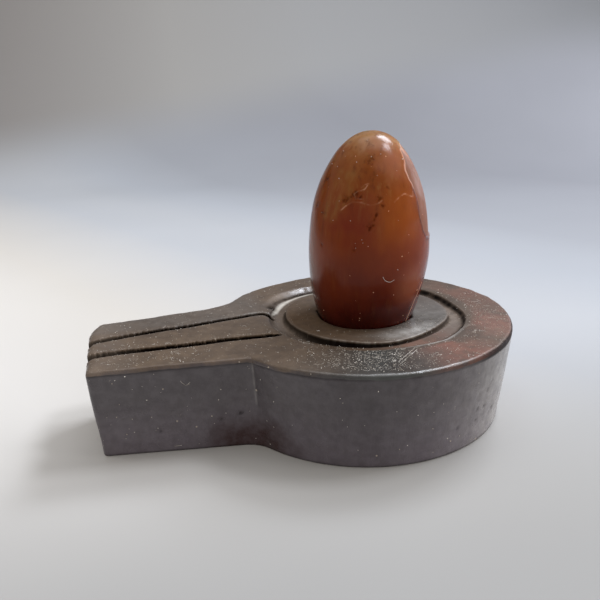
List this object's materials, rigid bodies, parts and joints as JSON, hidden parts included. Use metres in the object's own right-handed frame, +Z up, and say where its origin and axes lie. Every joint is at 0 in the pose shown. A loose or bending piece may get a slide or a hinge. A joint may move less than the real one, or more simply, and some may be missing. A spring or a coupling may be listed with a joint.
{
  "type": "shiva lingam stone on carved base",
  "caption": "Polished egg-shaped lingam stone standing in the socket of a carved stone yoni base with a ring channel and a grooved spout.",
  "frame": {"origin": "centre of the egg's foot projected onto the flat underside of the base", "axes": "+Z up along the egg, -X along the spout towards its tip, +Y across the base"},
  "size_m": [0.0587, 0.0418, 0.0386],
  "materials": {
    "base_stone": "dark reddish-brown polished stone, satin, dusty and scratched",
    "lingam_agate": "polished red-brown agate, waxy, slightly translucent, with a flake scar and small pits"
  },
  "bodies": {
    "root": {"yoni_base": "base_stone", "lingam_stone": "lingam_agate"}
  },
  "joints": []
}
